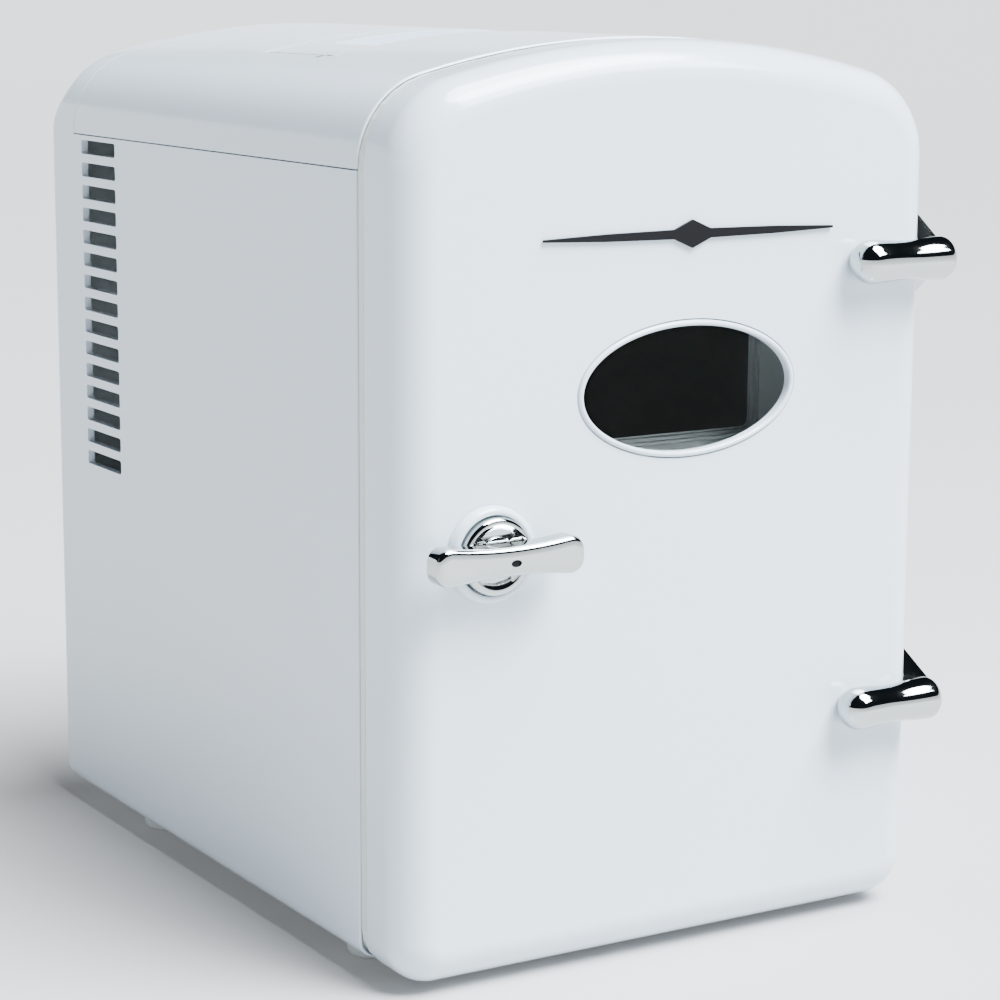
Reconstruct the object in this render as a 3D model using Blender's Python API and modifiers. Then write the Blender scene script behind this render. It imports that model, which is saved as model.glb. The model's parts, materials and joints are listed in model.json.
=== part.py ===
"""Retro countertop thermoelectric mini fridge, built as an assembly of separate sub-parts.

The cabinet frame: X runs across the front (hinges at +X), Y runs from the front to the rear with
the cabinet's front rim at 0, and Z runs up from the floor. Every dimension is in millimetres, and
UNIT turns it into metres. The root empty moves the whole object so that the world origin lies on
the floor under the middle of its bounding box.
"""
import math

import bmesh
import bpy
from mathutils import Matrix, Vector

UNIT = 0.001
GAP = 0.3            # clearance between pieces that touch
SKIN = 2.5           # wall of the outer plastic mouldings
ARC_STEP = 12.0      # degrees of turn between two points of a moulded corner

# Outer form shared by the cabinet and the door: straight sides under a flat arch.
HALF_WIDTH = 95.0
CROWN_RADIUS = 285.0
SHOULDER_RADIUS = 28.0

# Cabinet
CABINET_BASE = 6.0
CABINET_PEAK = 279.5
CABINET_DEPTH = 229.0
CABINET_CORNER = 6.0
REAR_EDGE_SIDE = 5.0
REAR_EDGE_ROOF = 12.0
ROOF_REAR = 206.3
FOOT_RADIUS = 8.0
FOOT_X = 80.0
FOOT_Y = (20.0, 172.0)

# Side vents
VENT_COUNT = 15
VENT_TOP = 240.6
VENT_PITCH = 7.74
VENT_HEIGHT = 4.7
VENT_Y = (171.5, 200.0)

# Cavity
CAVITY_HALF = 68.0
CAVITY_Z = (34.0, 236.0)
CAVITY_REAR = 146.0
CAVITY_RADIUS = 5.0
LINER_WALL = 2.0
SHELF_Z = 133.3

# Door
DOOR_FRONT = -27.0
DOOR_BASE = 2.5
DOOR_PEAK = 279.0
DOOR_CORNER = 14.0
DOOR_EDGE = 12.0
DOOR_SKIN = 2.2
DOOR_SEAM = -3.8
DOOR_BACK = -0.6

# Window
WINDOW_X = 2.8
WINDOW_Z = 176.0
WINDOW_HALF = (37.3, 18.8)
INNER_WINDOW_HALF = (41.5, 20.5)
WINDOW_RIM = 1.8
TUNNEL_FRONT = -22.4
OUTER_PANE_Y = (-24.5, -22.7)

# Turn latch
LATCH_X = -66.3
LATCH_Z = 132.6
DISC_RADIUS = 11.5
ESCUTCHEON_RADIUS = 14.5
BAR_LENGTH = 49.5
BAR_FRONT = -40.5
BAR_BACK = -33.0
SHAFT_RADIUS = 3.5

# Winged lozenge above the window
ORNAMENT_Z = 222.3
ORNAMENT_HALF = 52.0

# Notch in the cavity's front edge that the latch tongue turns in
NOTCH_X = (-86.0, -60.0)
NOTCH_HALF = 18.0
NOTCH_DEPTH = 6.0

# Door hinges
HINGE_X = 100.4
HINGE_Y = -3.0
HINGE_Z = {"upper": 211.2, "lower": 70.0}
BARREL_Y = -32.5
BARREL_X = (59.8, 96.4)
BARREL_RADIUS = 6.8
WING_REACH = 103.6
WING_HALF = 15.5
KNUCKLE_RADIUS = 4.3
PIN_RADIUS = 1.6

# Carry handle in the roof
POCKET_HALF = 64.0
POCKET_Y = (72.0, 122.0)
POCKET_FLOOR = 262.0
POCKET_WALL = 2.5
HANDLE_HALF = 62.0
HANDLE_Y = (75.0, 120.0)
HANDLE_THICK = 7.0
HANDLE_PIVOT = (79.0, 270.3)

# Cooling unit, on one axis through the cavity's rear wall
FAN_Z = 185.0
MODULE_Y = 166.3
HEAT_SINK_Y = 170.1
REAR_FAN_Y = (205.0, 225.0)
CAVITY_FAN_Y = (129.5, 136.0)
REAR_ROTOR_Y = (208.0, 222.0)
FAN_STRUT = 2.0

# Rear cover and its fittings
COVER_HALF = 80.0
COVER_Z = (18.0, 246.0)
COVER_Y = (229.3, 231.3)
REAR_OPENING_HALF = 74.0
REAR_OPENING_Z = (24.0, 240.0)
INLET_X = (-58.0, -34.0)
SOCKET_X = (-18.0, 2.0)
SWITCH_X = (20.0, 44.0)
FITTING_Z = (35.0, 53.0)
SWITCH_Y = 227.5
ROCKER_RADIUS = 7.5
SCREW_HEAD = 1.5

# Outer limits that set where the world origin lies
LIMIT_X = (-HALF_WIDTH, HINGE_X + KNUCKLE_RADIUS)
LIMIT_Y = (BAR_FRONT, COVER_Y[1] + GAP + SCREW_HEAD)

COLLECTION = "mini_fridge"
CUTTERS = "cutters"

# name: (colour, roughness, metallic, alpha)
FINISHES = {
    "white_plastic": ((0.83, 0.86, 0.88), 0.22, 0.0, 1.0),
    "liner_plastic": ((0.62, 0.65, 0.66), 0.40, 0.0, 1.0),
    "foam": ((0.80, 0.74, 0.55), 0.90, 0.0, 1.0),
    "gasket_rubber": ((0.55, 0.57, 0.58), 0.70, 0.0, 1.0),
    "foot_rubber": ((0.45, 0.47, 0.48), 0.60, 0.0, 1.0),
    "chrome": ((0.80, 0.81, 0.83), 0.06, 1.0, 1.0),
    "smoked_glass": ((0.02, 0.02, 0.025), 0.04, 0.0, 0.6),
    "black_gloss": ((0.01, 0.01, 0.012), 0.15, 0.0, 1.0),
    "black_plastic": ((0.03, 0.03, 0.03), 0.45, 0.0, 1.0),
    "aluminium": ((0.75, 0.76, 0.77), 0.35, 1.0, 1.0),
    "steel": ((0.56, 0.57, 0.58), 0.30, 1.0, 1.0),
    "ceramic": ((0.88, 0.88, 0.85), 0.50, 0.0, 1.0),
    "circuit_board": ((0.05, 0.28, 0.12), 0.50, 0.0, 1.0),
    "wire_insulation": ((0.60, 0.05, 0.04), 0.45, 0.0, 1.0),
}


# ---------------------------------------------------------------- scene and object helpers
def clear_scene():
    """Remove every object and the collections of an earlier run."""
    for obj in list(bpy.data.objects):
        bpy.data.objects.remove(obj, do_unlink=True)
    for name in (COLLECTION, CUTTERS):
        old = bpy.data.collections.get(name)
        if old:
            bpy.data.collections.remove(old)


def make_collection(name):
    collection = bpy.data.collections.new(name)
    bpy.context.scene.collection.children.link(collection)
    return collection


def make_material(node, finish):
    """One Principled material for each sub-part, named after it."""
    colour, roughness, metallic, alpha = FINISHES[finish]
    material = bpy.data.materials.new(node + "_" + finish)
    material.use_nodes = True
    shader = material.node_tree.nodes["Principled BSDF"]
    shader.inputs["Base Color"].default_value = (*colour, 1.0)
    shader.inputs["Roughness"].default_value = roughness
    shader.inputs["Metallic"].default_value = metallic
    shader.inputs["Alpha"].default_value = alpha
    material.diffuse_color = (*colour, alpha)
    return material


def make_empty(name, parent, place):
    """A pivot or root empty at a place in the cabinet frame."""
    empty = bpy.data.objects.new(name, None)
    empty.empty_display_size = 0.02
    bpy.data.collections[COLLECTION].objects.link(empty)
    offset = Vector(place) * UNIT
    if parent:
        empty.parent = parent
        offset -= Vector(parent["place"]) * UNIT
    empty["place"] = place
    empty.location = offset
    return empty


def add_object(name, mesh, finish=None, parent=None):
    """Link a mesh as a sub-part, or as a cutter when it has no finish."""
    obj = bpy.data.objects.new(name, mesh)
    if finish:
        bpy.data.collections[COLLECTION].objects.link(obj)
        mesh.materials.append(make_material(name, finish))
    else:
        bpy.data.collections[CUTTERS].objects.link(obj)
        obj.hide_render = True
        obj.display_type = "WIRE"
    pivot = parent or bpy.data.objects["fridge_root"]
    obj.parent = pivot
    obj.matrix_parent_inverse = Matrix.Translation(-Vector(pivot["place"]) * UNIT)
    return obj


def finish_mesh(name, bm):
    bmesh.ops.recalc_face_normals(bm, faces=bm.faces)
    mesh = bpy.data.meshes.new(name)
    bm.to_mesh(mesh)
    bm.free()
    mesh.shade_smooth()
    mesh.set_sharp_from_angle(angle=math.radians(32))
    return mesh


def to_space(axis, u, v, along):
    """A point of an outline: u and v lie across the axis, in X, Y, Z order."""
    spots = {"X": (along, u, v), "Y": (u, along, v), "Z": (u, v, along)}
    return Vector(spots[axis]) * UNIT


# ---------------------------------------------------------------- solids
def add_prism(bm, outline, low, high, axis="Y"):
    """Extrude an outline along an axis inside a bmesh."""
    ring = [bm.verts.new(to_space(axis, u, v, low)) for u, v in outline]
    face = bm.faces.new(ring)
    result = bmesh.ops.extrude_face_region(bm, geom=[face], use_keep_orig=True)
    moved = [item for item in result["geom"] if isinstance(item, bmesh.types.BMVert)]
    shift = to_space(axis, 0, 0, high) - to_space(axis, 0, 0, low)
    bmesh.ops.translate(bm, verts=moved, vec=shift)


def prism(name, outline, low, high, finish=None, parent=None, axis="Y"):
    bm = bmesh.new()
    add_prism(bm, outline, low, high, axis)
    return add_object(name, finish_mesh(name, bm), finish, parent)


def prisms(name, outlines, low, high, axis="Y"):
    """A cutter made of several separate prisms of the same length."""
    bm = bmesh.new()
    for outline in outlines:
        add_prism(bm, outline, low, high, axis)
    return add_object(name, finish_mesh(name, bm))


def box(name, low, high, finish=None, parent=None):
    bm = bmesh.new()
    bmesh.ops.create_cube(bm, size=1.0)
    low, high = Vector(low) * UNIT, Vector(high) * UNIT
    bmesh.ops.scale(bm, vec=high - low, verts=bm.verts)
    bmesh.ops.translate(bm, vec=(low + high) / 2, verts=bm.verts)
    return add_object(name, finish_mesh(name, bm), finish, parent)


AXIS_TURN = {
    "X": Matrix.Rotation(math.pi / 2, 4, "Y"),
    "Y": Matrix.Rotation(-math.pi / 2, 4, "X"),
    "Z": Matrix.Identity(4),
}


def cylinder(name, centre, radius, low, high, axis="Y", finish=None, parent=None, sides=24):
    """A cylinder; centre gives the two coordinates across its axis, in X, Y, Z order."""
    bm = bmesh.new()
    middle = to_space(axis, *centre, (low + high) / 2)
    turn = Matrix.Translation(middle) @ AXIS_TURN[axis]
    bmesh.ops.create_cone(bm, cap_ends=True, segments=sides, radius1=radius * UNIT,
                          radius2=radius * UNIT, depth=(high - low) * UNIT, matrix=turn)
    return add_object(name, finish_mesh(name, bm), finish, parent)


def turned(name, profile, place, axis, finish=None, parent=None, sides=24):
    """Turn a profile of (radius, height) points, listed from the top down its outer side."""
    mesh = bpy.data.meshes.new(name)
    points = [(r * UNIT, 0.0, h * UNIT) for r, h in profile]
    edges = [(i, i + 1) for i in range(len(points) - 1)]
    mesh.from_pydata(points, edges, [])
    obj = add_object(name, mesh, finish, parent)
    obj.matrix_basis = Matrix.Translation(Vector(place) * UNIT) @ AXIS_TURN[axis]
    screw = obj.modifiers.new("turn", "SCREW")
    screw.axis = "Z"
    screw.steps = sides
    screw.render_steps = sides
    screw.use_merge_vertices = True
    screw.merge_threshold = 0.00005
    screw.use_smooth_shade = True
    return obj


def bevel(obj, width, segments=2, angle=40.0):
    """Round every edge that turns more than the angle."""
    modifier = obj.modifiers.new("rounded_edges", "BEVEL")
    modifier.width = width * UNIT
    modifier.segments = segments
    modifier.limit_method = "ANGLE"
    modifier.angle_limit = math.radians(angle)
    modifier.use_clamp_overlap = True
    return modifier


def combine(obj, operation, *tools):
    """Boolean each tool into the object; the tools stay in the cutters collection."""
    for tool in tools:
        modifier = obj.modifiers.new(tool.name, "BOOLEAN")
        modifier.operation = operation
        modifier.solver = "EXACT"
        modifier.object = tool
    return obj


def cut(obj, *tools):
    return combine(obj, "DIFFERENCE", *tools)


def join(obj, *tools):
    return combine(obj, "UNION", *tools)


# ---------------------------------------------------------------- outlines
def arc(centre, radius, start, end, steps=None):
    """Points of an arc; the angles are in degrees from the first axis."""
    steps = steps or max(2, round(abs(end - start) / ARC_STEP))
    turn = [math.radians(start + (end - start) * i / steps) for i in range(steps + 1)]
    return [(centre[0] + radius * math.cos(a), centre[1] + radius * math.sin(a)) for a in turn]


def mirrored(points):
    """Close a right-hand half outline, listed from the bottom up, with its mirror image."""
    other = [(-x, z) for x, z in reversed(points) if abs(x) > 1e-6]
    return points + other


def shoulder_height(peak):
    """Height of the shoulder arc's centre, where the side turns into the arch."""
    reach = HALF_WIDTH - SHOULDER_RADIUS
    return peak - CROWN_RADIUS + math.sqrt((CROWN_RADIUS - SHOULDER_RADIUS) ** 2 - reach ** 2)


def crown_angle():
    """Degrees from vertical at which the crown meets the shoulder arc."""
    reach = HALF_WIDTH - SHOULDER_RADIUS
    return math.degrees(math.asin(reach / (CROWN_RADIUS - SHOULDER_RADIUS)))


def arch_half(peak, inset=0.0):
    """Right half of the roof line, from the top of the side up to the middle."""
    reach = HALF_WIDTH - SHOULDER_RADIUS
    start = 90.0 - crown_angle()
    shoulder = arc((reach, shoulder_height(peak)), SHOULDER_RADIUS - inset, 0.0, start, 7)
    crown = arc((0.0, peak - CROWN_RADIUS), CROWN_RADIUS - inset, start, 90.0, 5)
    return shoulder + crown[1:]


def arch_outline(base, peak, corner, inset=0.0):
    """The whole front outline: low corners, straight sides, shoulders and crown."""
    radius = max(corner - inset, 0.8)
    centre = (HALF_WIDTH - inset - radius, base + inset + radius)
    low = arc(centre, radius, -90.0, 0.0, 5 if radius > 6 else 3)
    return mirrored(low + arch_half(peak, inset))


def cabinet_outline(inset=0.0):
    return arch_outline(CABINET_BASE, CABINET_PEAK, CABINET_CORNER, inset)


def door_outline(inset=0.0):
    return arch_outline(DOOR_BASE, DOOR_PEAK, DOOR_CORNER, inset)


def crown_height(x, drop=0.0):
    """Height of the cabinet's crown at x, lowered by a drop."""
    return CABINET_PEAK - CROWN_RADIUS + math.sqrt(CROWN_RADIUS ** 2 - x * x) - drop


def rounded_rectangle(half, low, high, radius, middle=0.0):
    """Rectangle of half width and from low to high, with rounded corners."""
    right = arc((half - radius, low + radius), radius, -90.0, 0.0, 4)
    right += arc((half - radius, high - radius), radius, 0.0, 90.0, 4)
    return [(x + middle, z) for x, z in mirrored(right)]


def rectangle(u_low, u_high, v_low, v_high):
    return [(u_low, v_low), (u_high, v_low), (u_high, v_high), (u_low, v_high)]


def ellipse(half_u, half_v, centre, steps=40):
    turn = [2 * math.pi * i / steps for i in range(steps)]
    return [(centre[0] + half_u * math.cos(a), centre[1] + half_v * math.sin(a)) for a in turn]


def arched_band(half, drop_top, drop_bottom):
    """A band that follows the crown between two drops below it."""
    steps = 8
    xs = [half - 2 * half * i / steps for i in range(steps + 1)]
    top = [(x, crown_height(x, drop_top)) for x in xs]
    bottom = [(x, crown_height(x, drop_bottom)) for x in reversed(xs)]
    return top + bottom


# ---------------------------------------------------------------- shells
def weight_rear_edges(mesh, rear):
    """Give the rear edge loop its rounding: full on the roof, less on the sides and floor."""
    weights = mesh.attributes.new("bevel_weight_edge", "FLOAT", "EDGE")
    turn_height = shoulder_height(CABINET_PEAK) * UNIT
    for edge in mesh.edges:
        ends = [mesh.vertices[i].co for i in edge.vertices]
        if all(abs(co.y - rear * UNIT) < 1e-6 for co in ends):
            on_roof = min(co.z for co in ends) > turn_height - 1e-5
            weights.data[edge.index].value = 1.0 if on_roof else REAR_EDGE_SIDE / REAR_EDGE_ROOF


def open_box(name, outline, low, high, open_end, finish):
    """A prism without the face at its open end, ready for Solidify."""
    bm = bmesh.new()
    add_prism(bm, outline, low, high)
    bmesh.ops.recalc_face_normals(bm, faces=bm.faces)
    for face in list(bm.faces):
        if all(abs(v.co.y - open_end * UNIT) < 1e-7 for v in face.verts):
            bm.faces.remove(face)
    mesh = bpy.data.meshes.new(name)
    bm.to_mesh(mesh)
    bm.free()
    mesh.shade_smooth()
    mesh.set_sharp_from_angle(angle=math.radians(32))
    return add_object(name, mesh, finish)


def weighted_bevel(obj, width, segments):
    modifier = obj.modifiers.new("rounded_rim", "BEVEL")
    modifier.width = width * UNIT
    modifier.segments = segments
    modifier.limit_method = "WEIGHT"
    modifier.use_clamp_overlap = False


def solidify(obj, thickness):
    """Thicken an outward-facing skin towards the inside."""
    modifier = obj.modifiers.new("wall", "SOLIDIFY")
    modifier.thickness = thickness * UNIT
    modifier.offset = -1.0
    modifier.use_even_offset = True


def vent_slots():
    """One cutter with all the side slots, each passing through both side walls."""
    tops = [VENT_TOP - VENT_PITCH * i for i in range(VENT_COUNT)]
    outlines = [rectangle(*VENT_Y, top - VENT_HEIGHT, top) for top in tops]
    return prisms("vent_slots", outlines, -HALF_WIDTH - 5, HALF_WIDTH + 5, "X")


def cover_screw_spots():
    inset = 3.0
    return [(side * (COVER_HALF - inset), z)
            for side in (-1, 1)
            for z in (COVER_Z[0] + inset, COVER_Z[1] - inset)]


def leaf_screw_spots(middle):
    return [(26.0, middle + 6.0), (26.0, middle - 6.0)]


def make_cabinet_shell():
    """Sides, floor and rear wall in one moulding, open at the front and under the roof cover."""
    shell = open_box("cabinet_shell", cabinet_outline(), 0.0, CABINET_DEPTH, 0.0, "white_plastic")
    weight_rear_edges(shell.data, CABINET_DEPTH)
    weighted_bevel(shell, REAR_EDGE_ROOF, 4)
    solidify(shell, SKIN)
    parting = shoulder_height(CABINET_PEAK) - GAP
    roof_space = box("roof_space", (-120, -5, parting), (120, ROOF_REAR + GAP, 300))
    opening = rounded_rectangle(REAR_OPENING_HALF, *REAR_OPENING_Z, 8.0)
    rear_opening = prism("rear_opening", opening, CABINET_DEPTH - 8, CABINET_DEPTH + 5)
    cut(shell, roof_space, rear_opening, vent_slots())
    for i, spot in enumerate(cover_screw_spots()):
        hole = cylinder(f"shell_screw_hole_{i}", spot, 1.8, 220, 235, sides=12)
        cut(shell, hole)
    for name, middle in HINGE_Z.items():
        for i, spot in enumerate(leaf_screw_spots(middle)):
            cut(shell, cylinder(f"shell_leaf_hole_{name}_{i}", spot, 1.5, 90, 100, "X", sides=12))


def make_roof_cover():
    """Arched cover with a pocket that holds the carry handle."""
    half = arch_half(CABINET_PEAK)
    line = half + [(-x, z) for x, z in reversed(half[:-1])]
    bm = bmesh.new()
    front = [bm.verts.new(to_space("Y", x, z, 0.0)) for x, z in line]
    edges = [bm.edges.new(pair) for pair in zip(front, front[1:])]
    result = bmesh.ops.extrude_edge_only(bm, edges=edges)
    moved = [item for item in result["geom"] if isinstance(item, bmesh.types.BMVert)]
    bmesh.ops.translate(bm, verts=moved, vec=(0, ROOF_REAR * UNIT, 0))
    for face in bm.faces:
        face.normal_update()
    middle = max(bm.faces, key=lambda face: face.calc_center_median().z)
    if middle.normal.z < 0:
        bmesh.ops.reverse_faces(bm, faces=bm.faces)
    mesh = bpy.data.meshes.new("roof_cover")
    bm.to_mesh(mesh)
    bm.free()
    mesh.shade_smooth()
    mesh.set_sharp_from_angle(angle=math.radians(32))
    cover = add_object("roof_cover", mesh, "white_plastic")
    solidify(cover, SKIN)
    wall = POCKET_WALL
    band = arched_band(POCKET_HALF + wall, 1.2, 1.2)[:9]
    tray_outline = band + [(-POCKET_HALF - wall, POCKET_FLOOR - wall),
                           (POCKET_HALF + wall, POCKET_FLOOR - wall)]
    tray = prism("roof_tray", tray_outline, POCKET_Y[0] - wall, POCKET_Y[1] + wall)
    pocket = box("roof_pocket", (-POCKET_HALF, POCKET_Y[0], POCKET_FLOOR),
                 (POCKET_HALF, POCKET_Y[1], 300))
    reach = POCKET_HALF + POCKET_WALL
    pin_hole = cylinder("roof_pin_hole", HANDLE_PIVOT, 2.1, -reach, reach, "X", sides=16)
    join(cover, tray)
    cut(cover, pocket, pin_hole)


def make_carry_handle(pivot):
    """U-shaped grip, flush with the crown when it lies in its pocket, and its two pins."""
    handle = prism("carry_handle", arched_band(HANDLE_HALF, 0.4, HANDLE_THICK), *HANDLE_Y,
                   "white_plastic", pivot)
    space = box("handle_space", (-47, 60, 250), (47, 104, 290))
    pin_hole = cylinder("handle_pin_hole", HANDLE_PIVOT, 2.1, -90, 90, "X", sides=16)
    cut(handle, space, pin_hole)
    end = POCKET_HALF + POCKET_WALL - GAP
    for side, low, high in (("left", -end, -49.0), ("right", 49.0, end)):
        cylinder(f"handle_pin_{side}", HANDLE_PIVOT, 1.7, low, high, "X", "steel", sides=16)


def latch_notch(name, grow=0.0):
    """Space in front of the cavity's edge for the latch tongue, grown all round if asked."""
    return box(name, (NOTCH_X[0] - grow, -5, LATCH_Z - NOTCH_HALF - grow),
               (NOTCH_X[1], NOTCH_DEPTH + grow, LATCH_Z + NOTCH_HALF + grow))


def cavity_outline(grow=0.0):
    """Outline of the cavity, grown all round."""
    low, high = CAVITY_Z
    return rounded_rectangle(CAVITY_HALF + grow, low - grow, high + grow, CAVITY_RADIUS + grow)


def make_front_frame():
    """Flat frame that closes the cabinet walls at the front, round the liner."""
    frame = prism("front_frame", cabinet_outline(SKIN + GAP), 0.0, 2.5, "liner_plastic")
    cut(frame, prism("frame_opening", cavity_outline(LINER_WALL + GAP), -5.0, 10.0),
        latch_notch("frame_notch"))


def make_inner_liner():
    """Cavity tub with the two rails that carry the shelf."""
    liner = prism("inner_liner", cavity_outline(LINER_WALL), 0.0, CAVITY_REAR + LINER_WALL,
                  "liner_plastic")
    cavity = prism("liner_cavity", cavity_outline(), -5.0, CAVITY_REAR)
    block_hole = box("liner_block_hole", (-21, 140, FAN_Z - 21), (21, 160, FAN_Z + 21))
    rails = [box(f"shelf_rail_{side}", (x, 10, SHELF_Z - 2.3), (x + 3.2, 120, SHELF_Z - GAP))
             for side, x in (("left", -CAVITY_HALF - 0.4), ("right", CAVITY_HALF - 2.8))]
    cut(liner, cavity, block_hole, latch_notch("liner_notch"))
    join(liner, *rails)


def make_insulation():
    """Foam between the liner and the outer shell, with a passage for the cold block."""
    foam = prism("cabinet_insulation", arch_outline(CABINET_BASE, 258.0, 4.0, 4.0), 3.0, 168.0,
                 "foam")
    space = prism("foam_space", cavity_outline(LINER_WALL + GAP), -5.0,
                  CAVITY_REAR + LINER_WALL + GAP)
    passage = box("foam_passage", (-21, 140, FAN_Z - 21), (21, 180, FAN_Z + 21))
    cut(foam, space, passage, latch_notch("foam_notch", 0.5))


def make_keeper():
    """Steel strike plate, bent round the outer end of the latch notch."""
    outline = [(-85.6, LATCH_Z - 17.6), (-72.0, LATCH_Z - 17.6), (-72.0, LATCH_Z - 16.4),
               (-84.4, LATCH_Z - 16.4), (-84.4, LATCH_Z + 16.4), (-72.0, LATCH_Z + 16.4),
               (-72.0, LATCH_Z + 17.6), (-85.6, LATCH_Z + 17.6)]
    prism("latch_keeper", outline, 0.3, 5.6, "steel")


def make_shelf():
    """Lift-out shelf on the liner's two rails, with slots for the air."""
    shelf = box("shelf", (-67.4, 8.0, SHELF_Z), (67.4, 122.0, SHELF_Z + 2.4), "liner_plastic")
    slots = [rectangle(x - 3.0, x + 3.0, 22.0, 108.0) for x in range(-48, 49, 16)]
    cut(shelf, prisms("shelf_slots", slots, SHELF_Z - 5, SHELF_Z + 8, "Z"))


def make_feet():
    for side, x in (("left", -FOOT_X), ("right", FOOT_X)):
        for end, y in zip(("front", "rear"), FOOT_Y):
            top = CABINET_BASE - GAP
            profile = [(0.0, top), (FOOT_RADIUS, top), (FOOT_RADIUS - 0.6, 0.8),
                       (FOOT_RADIUS - 1.4, 0.0), (0.0, 0.0)]
            turned(f"foot_{end}_{side}", profile, (x, y, 0.0), "Z", "foot_rubber", sides=16)


# ---------------------------------------------------------------- cooling unit
def comb(half, base, tip, fins, thickness):
    """Comb outline in X and Y: a base plate with fins that reach from it to the tip."""
    points = [(half, base[0]), (-half, base[0]), (-half, base[1])]
    pitch = (2 * half - thickness) / (fins - 1)
    for i in range(fins):
        left = -half + pitch * i
        right = left + thickness
        points += [(left, tip), (right, tip), (right, base[1])]
        if i + 1 < fins:
            points.append((left + pitch, base[1]))
    return points[:2] + points[3:]


def rotor(name, span, radius, hub, blades, finish, pivot):
    """Axial fan wheel: a hub with pitched blades."""
    wheel = cylinder(name, (0, FAN_Z), hub, *span, "Y", finish, pivot, sides=20)
    middle = Vector((0, sum(span) / 2, FAN_Z)) * UNIT
    chord = radius * 0.42
    depth = span[1] - span[0]
    for i in range(blades):
        bm = bmesh.new()
        bmesh.ops.create_cube(bm, size=1.0)
        length = radius - hub + 3.0
        bmesh.ops.scale(bm, vec=Vector((length, 1.4, chord)) * UNIT, verts=bm.verts)
        bmesh.ops.translate(bm, vec=((radius - length / 2) * UNIT, 0, 0), verts=bm.verts)
        pitch = math.asin(min(0.6, (depth - 2.2) / chord))
        turn = Matrix.Rotation(2 * math.pi * i / blades, 4, "Y") @ Matrix.Rotation(pitch, 4, "X")
        bmesh.ops.transform(bm, matrix=Matrix.Translation(middle) @ turn, verts=bm.verts)
        join(wheel, add_object(f"{name}_blade_{i}", finish_mesh(name, bm)))


def fan_ring(name, half, span, bore, finish):
    """Square fan frame or guard with a round bore, a hub disc and two crossed struts."""
    low, high = span
    plate = rounded_rectangle(half, FAN_Z - half, FAN_Z + half, 6.0)
    frame = prism(name, plate, low, high, finish)
    cut(frame, cylinder(name + "_bore", (0, FAN_Z), bore, low - 5, high + 5, sides=32))
    strut = FAN_STRUT
    reach = bore + 2.0
    hub = cylinder(name + "_hub", (0, FAN_Z), 12.0, low, low + strut, sides=20)
    across = box(name + "_across", (-reach, low, FAN_Z - 1.5), (reach, low + strut, FAN_Z + 1.5))
    upright = box(name + "_upright", (-1.5, low, FAN_Z - reach), (1.5, low + strut, FAN_Z + reach))
    join(frame, hub, across, upright)
    return frame


def make_cooling_unit(cavity_pivot, rear_pivot):
    """Cold side inside the cavity, module and block in the wall, hot side behind it."""
    guard = fan_ring("cavity_fan_guard", 42.0, (126.0, CAVITY_REAR - GAP), 35.5, "liner_plastic")
    inside = rounded_rectangle(40.0, FAN_Z - 40.0, FAN_Z + 40.0, 5.0)
    cut(guard, prism("guard_inside", inside, 128.2, 160.0))
    rotor("cavity_fan_rotor", CAVITY_FAN_Y, 33.5, 11.0, 7, "black_plastic", cavity_pivot)
    cold = comb(37.0, (CAVITY_REAR - GAP, CAVITY_REAR - 2.5), 138.0, 11, 1.4)
    prism("cold_sink", cold, FAN_Z - 37, FAN_Z + 37, "aluminium", axis="Z")
    box("cold_block", (-20, CAVITY_REAR, FAN_Z - 20), (20, MODULE_Y - GAP, FAN_Z + 20),
        "aluminium")
    box("thermoelectric_module", (-20, MODULE_Y, FAN_Z - 20),
        (20, HEAT_SINK_Y - GAP, FAN_Z + 20), "ceramic")
    hot = comb(45.0, (HEAT_SINK_Y, HEAT_SINK_Y + 4.5), 198.0, 15, 1.6)
    prism("heat_sink", hot, FAN_Z - 45, FAN_Z + 45, "aluminium", axis="Z")
    fan_ring("rear_fan_frame", 41.0, REAR_FAN_Y, 37.5, "black_plastic")
    rotor("rear_fan_rotor", REAR_ROTOR_Y, 35.5, 14.0, 7, "black_plastic", rear_pivot)


def make_power_board():
    """Supply and control board with its largest components in one soldered assembly."""
    board = box("power_board", (-62, 212.0, 62), (8, 213.6, 118), "circuit_board")
    parts = [box("board_transformer", (-56, 196, 68), (-32, 212.5, 90)),
             box("board_relay", (-22, 199, 68), (-4, 212.5, 80)),
             box("board_regulator", (-28, 202, 96), (-18, 212.5, 112)),
             cylinder("board_capacitor", (-48, 104), 6.0, 194, 212.5, sides=16)]
    join(board, *parts)


def make_fan_lead():
    """Lead from the board up to the rear fan, as one smooth tube."""
    start = Vector((-12.0, 203.0, 118.6))
    end = Vector((-12.0, 203.0, 143.4))
    bow = Vector((0.0, -6.0, 0.0))
    curve = bpy.data.curves.new("fan_lead", "CURVE")
    curve.dimensions = "3D"
    curve.bevel_depth = 1.2 * UNIT
    curve.bevel_resolution = 2
    curve.use_fill_caps = True
    steps = 8
    spline = curve.splines.new("POLY")
    spline.points.add(steps)
    for i, point in enumerate(spline.points):
        share = i / steps
        spot = start.lerp(end, share) + bow * math.sin(math.pi * share) ** 2
        point.co = (*(spot * UNIT), 1.0)
    lead = add_object("fan_lead", curve, "wire_insulation")
    return lead


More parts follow.
